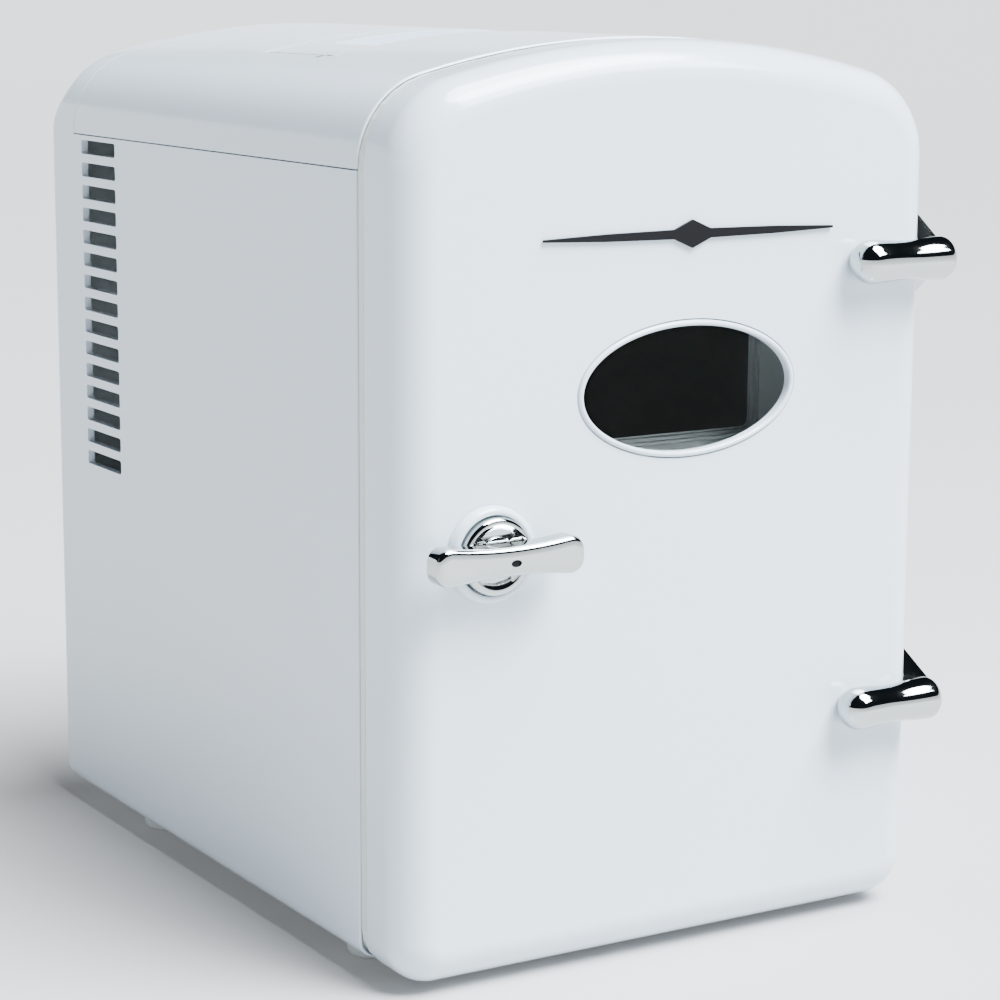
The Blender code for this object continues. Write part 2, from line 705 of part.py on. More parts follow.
def make_rear_cover():
    """Screwed-on cover with the fan grille and the openings for the electrical fittings."""
    cover = prism("rear_cover", rounded_rectangle(COVER_HALF, *COVER_Z, 8.0), *COVER_Y,
                  "white_plastic")
    slots = []
    for i in range(-4, 5):
        reach = math.sqrt(38.0 ** 2 - (i * 8.0) ** 2)
        slots.append(rectangle(-reach, -2.0, FAN_Z + i * 8.0 - 2.2, FAN_Z + i * 8.0 + 2.2))
        slots.append(rectangle(2.0, reach, FAN_Z + i * 8.0 - 2.2, FAN_Z + i * 8.0 + 2.2))
    cut(cover, prisms("grille_slots", slots, 225, 240))
    for name, (low, high) in (("inlet", INLET_X), ("socket", SOCKET_X), ("switch", SWITCH_X)):
        hole = box(f"cover_{name}_hole", (low - GAP, 225, FITTING_Z[0] - GAP),
                   (high + GAP, 240, FITTING_Z[1] + GAP))
        cut(cover, hole)
    for i, spot in enumerate(((-58, 66), (4, 66), (-58, 114), (4, 114))):
        join(cover, cylinder(f"board_post_{i}", spot, 2.5, 213.9, 230.0, sides=12))
    for i, spot in enumerate(cover_screw_spots()):
        cut(cover, cylinder(f"cover_screw_hole_{i}", spot, 1.8, 220, 240, sides=12))


def make_cover_screws():
    """Pan-head screws that hold the rear cover."""
    names = ("low_left", "high_left", "low_right", "high_right")
    top = COVER_Y[1] + GAP
    for name, (x, z) in zip(names, cover_screw_spots()):
        profile = [(0.0, SCREW_HEAD), (1.6, SCREW_HEAD), (3.0, 0.5), (3.0, 0.0), (1.4, 0.0),
                   (1.4, -8.5), (0.0, -9.5)]
        turned("cover_screw_" + name, profile, (x, top, z), "Y", "steel", sides=8)


def fitting_block(name, span, recess, depth, finish):
    """A rear fitting: a flanged block with a recess that opens to the rear."""
    x_low, x_high = span
    z_low, z_high = FITTING_Z
    face = COVER_Y[1] + GAP
    block = box(name, (x_low, 216, z_low), (x_high, face + 0.5, z_high), finish)
    flange = box(name + "_flange", (x_low - 1.5, face, z_low - 1.5),
                 (x_high + 1.5, face + 1.4, z_high + 1.5))
    middle = (x_low + x_high) / 2
    half_x, half_z = recess
    z_middle = sum(FITTING_Z) / 2
    hollow = box(name + "_recess", (middle - half_x, face + 1.4 - depth, z_middle - half_z),
                 (middle + half_x, 240, z_middle + half_z))
    join(block, flange)
    cut(block, hollow)
    return block, (middle, z_middle)


def make_fittings(switch_pivot):
    """Mains inlet, 12 V socket and the three-way cool, off and warm switch."""
    inlet, (x, z) = fitting_block("mains_inlet", INLET_X, (9.0, 5.0), 12.0, "black_plastic")
    for i, side in enumerate((-1, 1)):
        join(inlet, cylinder(f"inlet_blade_{i}", (x + side * 4.3, z), 1.2, 219, 229, sides=12))
    socket, (x, z) = fitting_block("low_voltage_socket", SOCKET_X, (7.5, 5.0), 10.0,
                                   "black_plastic")
    join(socket, cylinder("socket_blade", (x, z), 1.1, 219, 230, sides=12))
    frame, (x, z) = fitting_block("switch_frame", SWITCH_X, (9.4, 8.2), 8.0, "black_plastic")
    cut(frame, cylinder("switch_bed", (SWITCH_Y, z), ROCKER_RADIUS + 0.6, x - 9.4, x + 9.4, "X",
                        sides=32))
    outline = arc((SWITCH_Y, z), ROCKER_RADIUS, 50.0, 310.0, 18) + [(SWITCH_Y + 3.6, z)]
    prism("mode_switch", outline, x - 9.0, x + 9.0, "black_gloss", switch_pivot, "X")


# ---------------------------------------------------------------- door
def round_front_edges(obj, front, radius, segments):
    """Round the closed edge loop that lies in the plane y = front."""
    weights = obj.data.attributes.new("bevel_weight_edge", "FLOAT", "EDGE")
    for edge in obj.data.edges:
        if all(abs(obj.data.vertices[i].co.y - front * UNIT) < 1e-6 for i in edge.vertices):
            weights.data[edge.index].value = 1.0
    weighted_bevel(obj, radius, segments)


def make_door_shell(pivot):
    """Moulded outer door skin with rounded front edges and an elliptical window hole."""
    shell = open_box("door_shell", door_outline(), DOOR_FRONT, DOOR_SEAM, DOOR_SEAM,
                     "white_plastic")
    shell.parent = pivot
    shell.matrix_parent_inverse = Matrix.Translation(-Vector(pivot["place"]) * UNIT)
    round_front_edges(shell, DOOR_FRONT, DOOR_EDGE, 6)
    solidify(shell, DOOR_SKIN)
    hole = ellipse(WINDOW_HALF[0] + WINDOW_RIM + GAP, WINDOW_HALF[1] + WINDOW_RIM + GAP,
                   (WINDOW_X, WINDOW_Z))
    window_hole = prism("shell_window_hole", hole, DOOR_FRONT - 5, DOOR_FRONT + 6)
    shaft_hole = cylinder("shell_shaft_hole", (LATCH_X, LATCH_Z), SHAFT_RADIUS + 0.4,
                          DOOR_FRONT - 5, DOOR_FRONT + 6)
    cut(shell, window_hole, shaft_hole)


def make_door_inside(pivot):
    """Liner with the window tunnel, foam, gasket and the window's panes and rim."""
    half_x, half_z = INNER_WINDOW_HALF
    wall = 1.5
    liner = prism("door_liner", door_outline(0.4), DOOR_SEAM + GAP, DOOR_BACK, "liner_plastic",
                  pivot)
    tunnel_outline = rounded_rectangle(half_x + wall, WINDOW_Z - half_z - wall,
                                       WINDOW_Z + half_z + wall, 6.0, WINDOW_X)
    tunnel = prism("tunnel_outer", tunnel_outline, TUNNEL_FRONT, DOOR_BACK - 1.0)
    join(liner, tunnel)
    opening = rounded_rectangle(half_x, WINDOW_Z - half_z, WINDOW_Z + half_z, 5.0, WINDOW_X)
    cut(liner, prism("tunnel_inner", opening, -30.0, 5.0))
    groove = prism("gasket_groove", door_outline(3.2), -2.6, 5.0)
    cut(groove, prism("groove_island", door_outline(8.0), -8.0, 8.0))
    cut(liner, groove)
    shaft = (LATCH_X, LATCH_Z)
    cut(liner, cylinder("liner_shaft_hole", shaft, SHAFT_RADIUS + 0.4, -10, 5))
    gasket = prism("door_gasket", door_outline(3.5), -2.3, -GAP, "gasket_rubber", pivot)
    cut(gasket, prism("gasket_inside", door_outline(7.7), -8.0, 8.0))
    inset = DOOR_SKIN + 0.8
    foam = prism("door_insulation", door_outline(inset), DOOR_FRONT + inset, DOOR_SEAM, "foam",
                 pivot)
    round_front_edges(foam, DOOR_FRONT + inset, DOOR_EDGE - inset, 4)
    clear = rounded_rectangle(half_x + wall + GAP, WINDOW_Z - half_z - wall - GAP,
                              WINDOW_Z + half_z + wall + GAP, 6.0, WINDOW_X)
    cut(foam, prism("foam_window", clear, -40, 5),
        cylinder("foam_shaft_hole", shaft, SHAFT_RADIUS + 0.6, -40, 5))
    prism("outer_pane", tunnel_outline, *OUTER_PANE_Y, "smoked_glass", pivot)
    inner = rounded_rectangle(half_x - GAP, WINDOW_Z - half_z + GAP, WINDOW_Z + half_z - GAP,
                              4.8, WINDOW_X)
    prism("inner_pane", inner, -4.0, -2.4, "smoked_glass", pivot)
    rim_outline = ellipse(WINDOW_HALF[0] + WINDOW_RIM, WINDOW_HALF[1] + WINDOW_RIM,
                          (WINDOW_X, WINDOW_Z))
    rim = prism("window_rim", rim_outline, DOOR_FRONT - 0.7, DOOR_FRONT + 2.2, "white_plastic",
                pivot)
    cut(rim, prism("rim_inside", ellipse(*WINDOW_HALF, (WINDOW_X, WINDOW_Z)), -40, 5))


def make_ornament(pivot):
    """Plain winged lozenge that decorates the door above the window."""
    z = ORNAMENT_Z
    tip = ORNAMENT_HALF
    right = [(0.0, z - 4.2), (6.5, z - 1.4), (30.0, z - 1.1), (tip, z - 0.35),
             (tip, z + 0.35), (30.0, z + 1.1), (6.5, z + 1.4), (0.0, z + 4.2)]
    left = [(-x, height) for x, height in reversed(right[1:-1])]
    outline = [(x + WINDOW_X, height) for x, height in right + left]
    prism("door_ornament", outline, DOOR_FRONT - 1.1, DOOR_FRONT - GAP, "black_gloss", pivot)


def make_latch(door_pivot, latch_pivot):
    """Fixed escutcheon, and the bar, disc, shaft and tongue that turn together."""
    spot = (LATCH_X, LATCH_Z)
    ring = cylinder("latch_escutcheon", spot, ESCUTCHEON_RADIUS, DOOR_FRONT - 3.2,
                    DOOR_FRONT - GAP, "Y", "white_plastic", door_pivot, sides=32)
    cut(ring, cylinder("escutcheon_bore", spot, DISC_RADIUS + 0.4, -40, -20, sides=32))
    disc = cylinder("latch_disc", spot, DISC_RADIUS, BAR_BACK + GAP, DOOR_FRONT - GAP, "Y",
                    "chrome", latch_pivot, sides=32)
    bevel(disc, 0.8, 1)
    half = BAR_LENGTH / 2
    end, waist = 6.4, 4.3
    upper = [(-half + 4.0, end)]
    for i in range(1, 12):
        share = i / 6.0 - 1.0
        upper.append((share * (half - 5.0), waist + (end - waist) * share * share))
    upper.append((half - 4.0, end))
    right_end = [(half - 1.2, end * 0.72), (half, end * 0.25), (half, -end * 0.25),
                 (half - 1.2, -end * 0.72)]
    lower = [(x, -z) for x, z in reversed(upper)]
    left_end = [(-x, z) for x, z in reversed(right_end)]
    outline = [(LATCH_X + x, LATCH_Z + z) for x, z in upper + right_end + lower + left_end]
    bar = prism("latch_bar", outline, BAR_FRONT, BAR_BACK, "chrome", latch_pivot)
    bevel(bar, 1.0, 2, 50.0)
    cylinder("latch_shaft", spot, SHAFT_RADIUS, DOOR_FRONT, 0.7, "Y", "steel", latch_pivot)
    tongue = arc(spot, 5.0, -90.0, 90.0, 6)
    tongue += [(LATCH_X - 12.0, LATCH_Z + 3.5), (LATCH_X - 15.0, LATCH_Z + 2.0),
               (LATCH_X - 15.0, LATCH_Z - 2.0), (LATCH_X - 12.0, LATCH_Z - 3.5)]
    prism("latch_tongue", tongue, 1.0, 3.0, "steel", latch_pivot)


# ---------------------------------------------------------------- hinges
def door_envelope():
    """The door's outer form grown by the usual gap, used to seat the hinge castings."""
    envelope = prism("door_envelope", door_outline(-GAP), DOOR_FRONT - GAP, 5.0)
    round_front_edges(envelope, DOOR_FRONT - GAP, DOOR_EDGE + GAP, 6)
    return envelope


def barrel_profile():
    """Bullet profile of the hinge barrel, from its right end to its left end."""
    length = BARREL_X[1] - BARREL_X[0]
    radius = BARREL_RADIUS
    right = [(r, length - 3.2 + h) for h, r in arc((0.0, 0.0), 1.0, 90.0, 0.0, 4)]
    right = [(r * (radius - 0.4), length - 3.2 + (h - length + 3.2) * 3.2) for r, h in right]
    waist = [(radius - 0.3, length - 10.0), (radius - 0.7, length - 18.0),
             (radius - 0.3, length - 24.0), (radius, 8.0)]
    left = [(radius * math.cos(a), 6.8 - 6.8 * math.sin(a))
            for a in (math.radians(step) for step in (10, 30, 50, 70, 90))]
    profile = list(reversed(right)) + waist + left
    profile[0] = (0.0, profile[0][1])
    profile[-1] = (0.0, 0.0)
    return profile


def make_hinge(name, middle, envelope, door_pivot):
    """Chrome casting on the door, leaf on the cabinet's side, pin and the leaf's screws."""
    axis = (HINGE_X, HINGE_Y)
    casting = turned(f"hinge_casting_{name}", barrel_profile(), (BARREL_X[0], BARREL_Y, middle),
                     "X", "chrome", door_pivot)
    side = HALF_WIDTH + GAP
    web = box(f"casting_web_{name}", (85.0, BARREL_Y - 2.5, middle - 4.6),
              (side + 3.0, -18.5, middle + 4.6))
    wing_outline = [(side - 1.0, middle - WING_HALF), (side, middle - WING_HALF),
                    (WING_REACH, middle - 3.0), (WING_REACH, middle + 3.0),
                    (side, middle + WING_HALF), (side - 1.0, middle + WING_HALF)]
    wing = prism(f"casting_wing_{name}", wing_outline, -21.5, -9.0)
    arm = box(f"casting_arm_{name}", (side + 0.7, -10.0, middle - 5.0),
              (HINGE_X + 2.4, HINGE_Y, middle + 5.0))
    eye = cylinder(f"casting_eye_{name}", axis, KNUCKLE_RADIUS, middle - 5.0, middle + 5.0, "Z")
    hole = cylinder(f"casting_hole_{name}", axis, PIN_RADIUS + 0.3, middle - 9, middle + 9, "Z",
                    sides=16)
    join(casting, web, wing, arm, eye)
    cut(casting, envelope, hole)
    leaf_outline = [(3.0, middle - 13.0), (30.0, middle - 10.0), (38.0, middle - 3.0),
                    (38.0, middle + 3.0), (30.0, middle + 10.0), (3.0, middle + 13.0)]
    leaf = prism(f"hinge_leaf_{name}", leaf_outline, side, side + 2.2, "chrome", axis="X")
    for i, (low, high) in enumerate(((5.4, 12.6), (-12.6, -5.4))):
        span = (middle + low, middle + high)
        join(leaf, box(f"leaf_web_{name}_{i}", (side + 0.6, HINGE_Y, span[0]),
                       (HINGE_X - 1.2, 5.0, span[1])),
             cylinder(f"leaf_knuckle_{name}_{i}", axis, KNUCKLE_RADIUS, *span, "Z"))
    cut(leaf, cylinder(f"leaf_pin_hole_{name}", axis, PIN_RADIUS + 0.3, middle - 20, middle + 20,
                       "Z", sides=16))
    for i, spot in enumerate(leaf_screw_spots(middle)):
        cut(leaf, cylinder(f"leaf_hole_{name}_{i}", spot, 1.5, 90, 105, "X", sides=12))
        profile = [(0.0, 1.1), (1.4, 1.1), (2.5, 0.4), (2.5, 0.0), (1.2, 0.0), (1.2, -6.0),
                   (0.0, -6.8)]
        turned(f"leaf_screw_{name}_{i}", profile, (side + 2.2 + GAP, *spot), "X", "steel",
               sides=8)
    cylinder(f"hinge_pin_{name}", axis, PIN_RADIUS, middle - 13.4, middle + 13.4, "Z", "steel",
             sides=16)


# ---------------------------------------------------------------- assembly
def make_pivots():
    """Root empty on the floor, and one empty on the axis of each joint."""
    root = make_empty("fridge_root", None, (0.0, 0.0, 0.0))
    door = make_empty("door_pivot", root, (HINGE_X, HINGE_Y, DOOR_BASE))
    return {
        "root": root,
        "door": door,
        "latch": make_empty("latch_pivot", door, (LATCH_X, DOOR_FRONT, LATCH_Z)),
        "handle": make_empty("handle_pivot", root, (0.0, *HANDLE_PIVOT)),
        "cavity_fan": make_empty("cavity_fan_pivot", root, (0.0, CAVITY_FAN_Y[0], FAN_Z)),
        "rear_fan": make_empty("rear_fan_pivot", root, (0.0, REAR_FAN_Y[0], FAN_Z)),
        "switch": make_empty("switch_pivot", root,
                             (sum(SWITCH_X) / 2, SWITCH_Y, sum(FITTING_Z) / 2)),
    }


def build():
    clear_scene()
    make_collection(COLLECTION)
    make_collection(CUTTERS)
    pivots = make_pivots()
    make_cabinet_shell()
    make_roof_cover()
    make_carry_handle(pivots["handle"])
    make_front_frame()
    make_inner_liner()
    make_insulation()
    make_keeper()
    make_shelf()
    make_feet()
    make_cooling_unit(pivots["cavity_fan"], pivots["rear_fan"])
    make_power_board()
    make_fan_lead()
    make_rear_cover()
    make_cover_screws()
    make_fittings(pivots["switch"])
    make_door_shell(pivots["door"])
    make_door_inside(pivots["door"])
    make_ornament(pivots["door"])
    make_latch(pivots["door"], pivots["latch"])
    envelope = door_envelope()
    for name, middle in HINGE_Z.items():
        make_hinge(name, middle, envelope, pivots["door"])
    middle_x = sum(LIMIT_X) / 2
    middle_y = sum(LIMIT_Y) / 2
    pivots["root"].location = Vector((-middle_x, -middle_y, 0.0)) * UNIT
    bpy.context.view_layer.update()


build()
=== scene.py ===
"""Looks of the countertop mini fridge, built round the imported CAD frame.

Lengths are in millimetres in the cabinet frame: X to the hinge side with 0 in the middle, Y to the
rear with 0 at the cabinet's front rim, Z up from the floor.
"""
import json
import math

import bmesh
import bpy
from mathutils import Matrix, Vector


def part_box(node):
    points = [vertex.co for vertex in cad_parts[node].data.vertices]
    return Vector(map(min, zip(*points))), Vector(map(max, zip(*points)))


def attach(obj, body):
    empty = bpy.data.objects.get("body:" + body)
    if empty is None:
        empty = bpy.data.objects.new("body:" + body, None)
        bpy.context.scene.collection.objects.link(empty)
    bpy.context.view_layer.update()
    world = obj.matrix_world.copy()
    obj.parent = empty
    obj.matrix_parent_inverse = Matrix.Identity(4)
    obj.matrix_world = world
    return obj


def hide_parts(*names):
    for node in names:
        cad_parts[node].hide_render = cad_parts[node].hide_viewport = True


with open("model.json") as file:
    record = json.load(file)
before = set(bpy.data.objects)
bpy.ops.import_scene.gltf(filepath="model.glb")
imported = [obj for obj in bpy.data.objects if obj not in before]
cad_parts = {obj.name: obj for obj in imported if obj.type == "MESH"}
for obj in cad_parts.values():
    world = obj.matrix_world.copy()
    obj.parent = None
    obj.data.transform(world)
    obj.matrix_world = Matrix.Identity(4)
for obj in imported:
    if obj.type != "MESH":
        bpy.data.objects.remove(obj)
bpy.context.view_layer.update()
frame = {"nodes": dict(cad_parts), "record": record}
SHELL_LOW, SHELL_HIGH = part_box("cabinet_shell")
ORIGIN = Vector(((SHELL_LOW.x + SHELL_HIGH.x) / 2, SHELL_LOW.y, 0.0))
MM = 0.001

# Cutting shapes reach this far out, up and forward, past everything they cut
CUT_SIDE, CUT_TOP, CUT_FRONT = 120, 320, -5

# Holes for the pins
PIN_RADIUS = {"handle": 2.1, "hinge": 1.9}
PIN_HALF = {"roof": 66.5, "handle": 80, "hinge": 9.0}

# Cabinet
HALF_WIDTH = 95.0
CROWN = 285.0
SHOULDER = 28.0
CABINET = {"base": 6.0, "peak": 279.5, "corner": 6.0}
DEPTH = 229.0
CABINET_WALL = 2.5
FRONT_EDGE = ((0.0, 0.7), (0.25, 0.2), (0.8, 0.0), (120.0, 0.0))
REAR_EDGE = {"side": 5.0, "extra": 7.0, "rise": 20.0}
REAR_ROOM = {"half": (74.0, 108.0), "middle": (0.0, 132.0), "corner": 8.0, "y": (222, 236)}
ROOF_REAR = 206.3
PARTING_GAP = 0.35
VENTS = {"count": 15, "top": 240.6, "pitch": 7.74, "height": 4.7, "y": (171.5, 200.0),
         "corner": 0.9, "reach": 105}
FOOT_PROFILE = ((0.0, 5.7), (8.0, 5.7), (8.0, 5.0), (7.7, 2.0), (7.4, 0.9), (7.0, 0.3), (6.6, 0.0),
                (4.0, 0.0), (3.6, 0.5), (0.0, 0.5))

# Carry handle and its pocket
POCKET_HALF = 64.0
POCKET_Y = (72.0, 122.0)
POCKET_FLOOR = 262.0
TRAY_DROP = 1.2
HANDLE_HALF = 62.0
HANDLE_DROP = (0.4, 7.0)
HANDLE_Y = (75.0, 120.0)
HANDLE_PIVOT = (0, 79.0, 270.3)
GRIP_ROOM = {"half": 47, "y": (60, 104), "z": (250, 300)}

# Door and window
DOOR = {"base": 2.5, "peak": 279.0, "corner": 14.0}
DOOR_FRONT = -27.0
DOOR_SEAM = -3.8
DOOR_EDGE = 12.0
DOOR_WALL = 2.2
SEAM_EDGE = ((0.0, 0.6), (0.2, 0.15), (0.7, 0.0))
GAP = 0.3
WINDOW = (2.8, 176.0)
WINDOW_HALF = (37.3, 18.8)
RIM = 1.8
RIM_SECTION = ((0.0, 2.2), (0.0, 0.1), (0.25, -0.45), (0.7, -0.68), (1.2, -0.62), (1.6, -0.3),
               (RIM, 0.2), (RIM, 2.2))
RIM_STEPS = 120
INNER_WINDOW_HALF = (41.5, 20.5)
INNER_WINDOW_CORNER = 5.5
BEADS = ((0.2, 0.9, 2.4), (1.3, 1.0, 1.3), (2.6, 0.5, 0.6))
BEAD_LIFT = 0.05

# Latch
LATCH = (-66.3, 132.6)
SHAFT_ROOM = 3.9
SMILE = {"radius": 7.6, "width": 0.9, "start": 235, "end": 305, "floor": 3.6}
CRESCENT = {"radius": 7.0, "width": 2.4, "start": 48, "end": 132, "floor": 3.9}
SLOT_FRONT = 7
COLLAR_PROFILE = ((11.9, -0.3), (11.9, -2.7), (12.2, -3.1), (12.8, -3.2), (13.5, -3.0),
                  (14.1, -2.3), (14.4, -1.2), (14.5, -0.3))
DISC_PROFILE = ((0.0, -0.3), (11.3, -0.3), (11.5, -0.6), (11.5, -4.4), (11.1, -5.1), (10.2, -5.5),
                (9.4, -5.3), (8.8, -4.9), (0.0, -4.7))
BAR_Y = (-40.5, -33.0)
BAR_HALF = 24.75
BAR_WAIST = 4.3
BAR_FLARE = 2.1
BAR_END = 5.4
BAR_PROFILE = ((7.5, 0.8), (7.2, 0.25), (6.7, 0.0), (2.0, 0.0), (1.3, 0.12), (0.8, 0.4),
               (0.45, 0.85), (0.25, 1.35), (0.1, 2.1), (0.0, 3.2))
# Dimple in the latch bar: an oval recess, with a near-black insert set in it as painted shade
DIMPLE_HALF = (1.75, 1.05)
DIMPLE_SHIFT = (1.0, -0.4)
DIMPLE_SHADE_Y = (0.5, 1.4)

# Hinges
HINGE_X = 100.4
HINGE_Y = -3.0
HINGE_Z = {"upper": 211.2, "lower": 70.0}
BARREL_Y = -32.5
BARREL_X = (59.8, 96.4)
BARREL_RADIUS = 6.8
BARREL_WAIST = 0.75
BARREL_END = 3.2
WEB = {"x": (86.0, 94.5), "reach": 3.0, "y": (-31.0, -21.0, -18.5), "half": 4.6}
WING = {"half": (3.0, 15.5), "root": (103.6, -21.5), "tip": (0.3, -14.5), "sunk": 1.0,
        "back": -9.0}
ARM = {"start": 0.7, "front": -10.0, "past": 2.4}
KNUCKLE = {"radius": 4.3, "half": 5.0}

# Studio, with lights and camera in metres
FLOOR_PROFILE = ((10.0, 0.0), (2e3, 0.0), (7e3, 0.0), (9e3, 350.0), (1.1e4, 1100.0),
                 (1.3e4, 2150.0), (1.5e4, 3500.0))
CAMERA_PLACE = (-0.47846, -0.80159, 0.2978)
CAMERA_RIGHT = (0.855801, -0.517286, 0.004426)
CAMERA_UP = (0.092161, 0.160879, 0.982662)
CAMERA_BACK = (-0.50903, -0.840555, 0.185354)
CAMERA_LENS = 100.622
CAMERA_SENSOR = 36.0
CAMERA_CLIP = (0.05, 600.0)
FLOOR_DROP = 0.0002
FLOOR_GREY = 0.47
FLOOR_GLOW = 0.1
WORLD = {"colour": (0.10, 0.13, 0.17), "strength": 0.12}
SUN = {"power": 14.0, "angle": 40.0, "colour": (0.93, 0.97, 1.0), "aim": (-0.30, 0.38, -1.0)}
AREAS = {
    "key": {"spot": (0.5, -0.9, 1.25), "target": (0.0, 0.0, 0.15), "size": (0.8, 0.8),
            "power": 58.0, "colour": (0.88, 0.94, 1.0)},
    "side": {"spot": (-1.5, 0.1, 0.7), "target": (0.0, 0.0, 0.14), "size": (0.6, 0.9),
             "power": 0.3, "colour": (0.85, 0.92, 1.0)},
}

# Sockets of the colour mix node, whose names repeat
MIX_FACTOR, MIX_A, MIX_B, MIX_RESULT = 0, 6, 7, 2


# ---------------------------------------------------------------- mesh helpers
def place(x, y, z):
    """World position, in metres, of a point of the cabinet frame."""
    return ORIGIN + Vector((x, y, z)) * MM


def new_object(name, bm, material=None):
    bmesh.ops.recalc_face_normals(bm, faces=bm.faces)
    mesh = bpy.data.meshes.new(name)
    bm.to_mesh(mesh)
    bm.free()
    obj = bpy.data.objects.new(name, mesh)
    bpy.context.scene.collection.objects.link(obj)
    if material:
        mesh.materials.append(material)
    return obj


def loft(name, rings, material=None, caps=(True, True), closed=False):
    """Skin a list of rings that all have the same number of points."""
    bm = bmesh.new()
    rows = [[bm.verts.new(place(*p)) for p in ring] for ring in rings]
    pairs = list(zip(rows, rows[1:]))
    if closed:
        pairs.append((rows[-1], rows[0]))
    for a, b in pairs:
        for i in range(len(a)):
            j = (i + 1) % len(a)
            bm.faces.new((a[i], a[j], b[j], b[i]))
    if caps[0] and not closed:
        bm.faces.new(rows[0])
    if caps[1] and not closed:
        bm.faces.new(list(reversed(rows[-1])))
    return new_object(name, bm, material)


def prism(name, outline, low, high, material=None):
    """Extrude an outline in X and Z along Y."""
    return loft(name, [[(x, y, z) for x, z in outline] for y in (low, high)], material)


def block(name, low, high):
    outline = [(low[0], low[2]), (high[0], low[2]), (high[0], high[2]), (low[0], high[2])]
    return prism(name, outline, low[1], high[1])


def revolve(name, profile, centre, axis, material=None, steps=96, closed=False):
    """Turn a profile of (radius, height) about an axis through the centre."""
    rings = []
    for radius, height in profile:
        ring = []
        for i in range(steps):
            a = 2 * math.pi * i / steps
            u, v = max(radius, 0.01) * math.cos(a), max(radius, 0.01) * math.sin(a)
            local = {"X": (height, u, v), "Y": (u, height, v), "Z": (u, v, height)}[axis]
            ring.append(tuple(c + d for c, d in zip(centre, local)))
        rings.append(ring)
    return loft(name, rings, material, closed=closed)


def rod(name, radius, half, centre, axis, steps):
    return revolve(name, [(radius, -half), (radius, half)], centre, axis, steps=steps)


def bake(obj):
    """Apply the modifiers."""
    graph = bpy.context.evaluated_depsgraph_get()
    mesh = bpy.data.meshes.new_from_object(obj.evaluated_get(graph))
    obj.modifiers.clear()
    obj.data = mesh
    return obj


def boolean(obj, operation, *others):
    """Combine an object with each of the others in turn; the others are deleted."""
    for other in others:
        modifier = obj.modifiers.new("boolean", "BOOLEAN")
        modifier.operation = operation
        modifier.solver = "EXACT"
        modifier.object = other
        bake(obj)
        bpy.data.objects.remove(other, do_unlink=True)


def smooth(obj, radius=0.0, segments=3, angle=32.0):
    """Round the hard edges and shade smooth with face-weighted normals."""
    if radius:
        modifier = obj.modifiers.new("edge", "BEVEL")
        modifier.width = radius * MM
        modifier.segments = segments
        modifier.limit_method = "ANGLE"
        modifier.angle_limit = math.radians(angle)
        modifier.use_clamp_overlap = True
        bake(obj)
    obj.data.shade_smooth()
    obj.data.set_sharp_from_angle(angle=math.radians(angle + 10))
    modifier = obj.modifiers.new("normals", "WEIGHTED_NORMAL")
    modifier.keep_sharp = True
    return bake(obj)


def turn_points(centre, radius, start, end, steps):
    """Points of an arc between two angles in degrees, with the outward normal at each point."""
    points = []
    for i in range(steps + 1):
        a = math.radians(start + (end - start) * i / steps)
        points.append((centre[0] + radius * math.cos(a), centre[1] + radius * math.sin(a),
                       math.cos(a), math.sin(a)))
    return points


def arch(base, peak, corner):
    """Closed outline of straight sides under an arch, with the outward normal at each point."""
    reach = HALF_WIDTH - SHOULDER
    lean = math.degrees(math.asin(reach / (CROWN - SHOULDER)))
    spring = spring_height(peak)
    half = [(0.0, base, 0.0, -1.0)]
    half += turn_points((HALF_WIDTH - corner, base + corner), corner, -90, 0, 12)
    half += turn_points((reach, spring), SHOULDER, 0, 90 - lean, 18)
    half += turn_points((0.0, peak - CROWN), CROWN, 90 - lean, 90, 16)[1:]
    return half + [(-x, z, -nx, nz) for x, z, nx, nz in reversed(half[1:-1])]


def crown_height(x):
    """Height of the cabinet's roof at this distance from the middle."""
    return CABINET["peak"] - CROWN + math.sqrt(CROWN ** 2 - x * x)


def spring_height(peak):
    """Height at which the shoulders start under a crown of this peak."""
    reach = HALF_WIDTH - SHOULDER
    return peak - CROWN + math.sqrt((CROWN - SHOULDER) ** 2 - reach ** 2)


def ring_at(outline, y, inset):
    """Ring of an outline with normals, moved inward by the inset."""
    return [(x - nx * inset, y, z - nz * inset) for x, z, nx, nz in outline]


def ellipse(half, centre, steps=96):
    return [(centre[0] + half[0] * math.cos(2 * math.pi * i / steps),
             centre[1] + half[1] * math.sin(2 * math.pi * i / steps)) for i in range(steps)]


# ---------------------------------------------------------------- materials
def ramp(tree, source, low, high):
    node = tree.nodes.new("ShaderNodeMapRange")
    node.inputs["To Min"].default_value = low
    node.inputs["To Max"].default_value = high
    tree.links.new(source, node.inputs["Value"])
    return node.outputs["Result"]


def noise(tree, scale, detail, stretch=None):
    where = tree.nodes.new("ShaderNodeTexCoord").outputs["Object"]
    if stretch:
        mapping = tree.nodes.new("ShaderNodeMapping")
        mapping.inputs["Scale"].default_value = stretch
        tree.links.new(where, mapping.inputs["Vector"])
        where = mapping.outputs["Vector"]
    node = tree.nodes.new("ShaderNodeTexNoise")
    node.inputs["Scale"].default_value = scale
    node.inputs["Detail"].default_value = detail
    tree.links.new(where, node.inputs["Vector"])
    return node.outputs["Fac"]


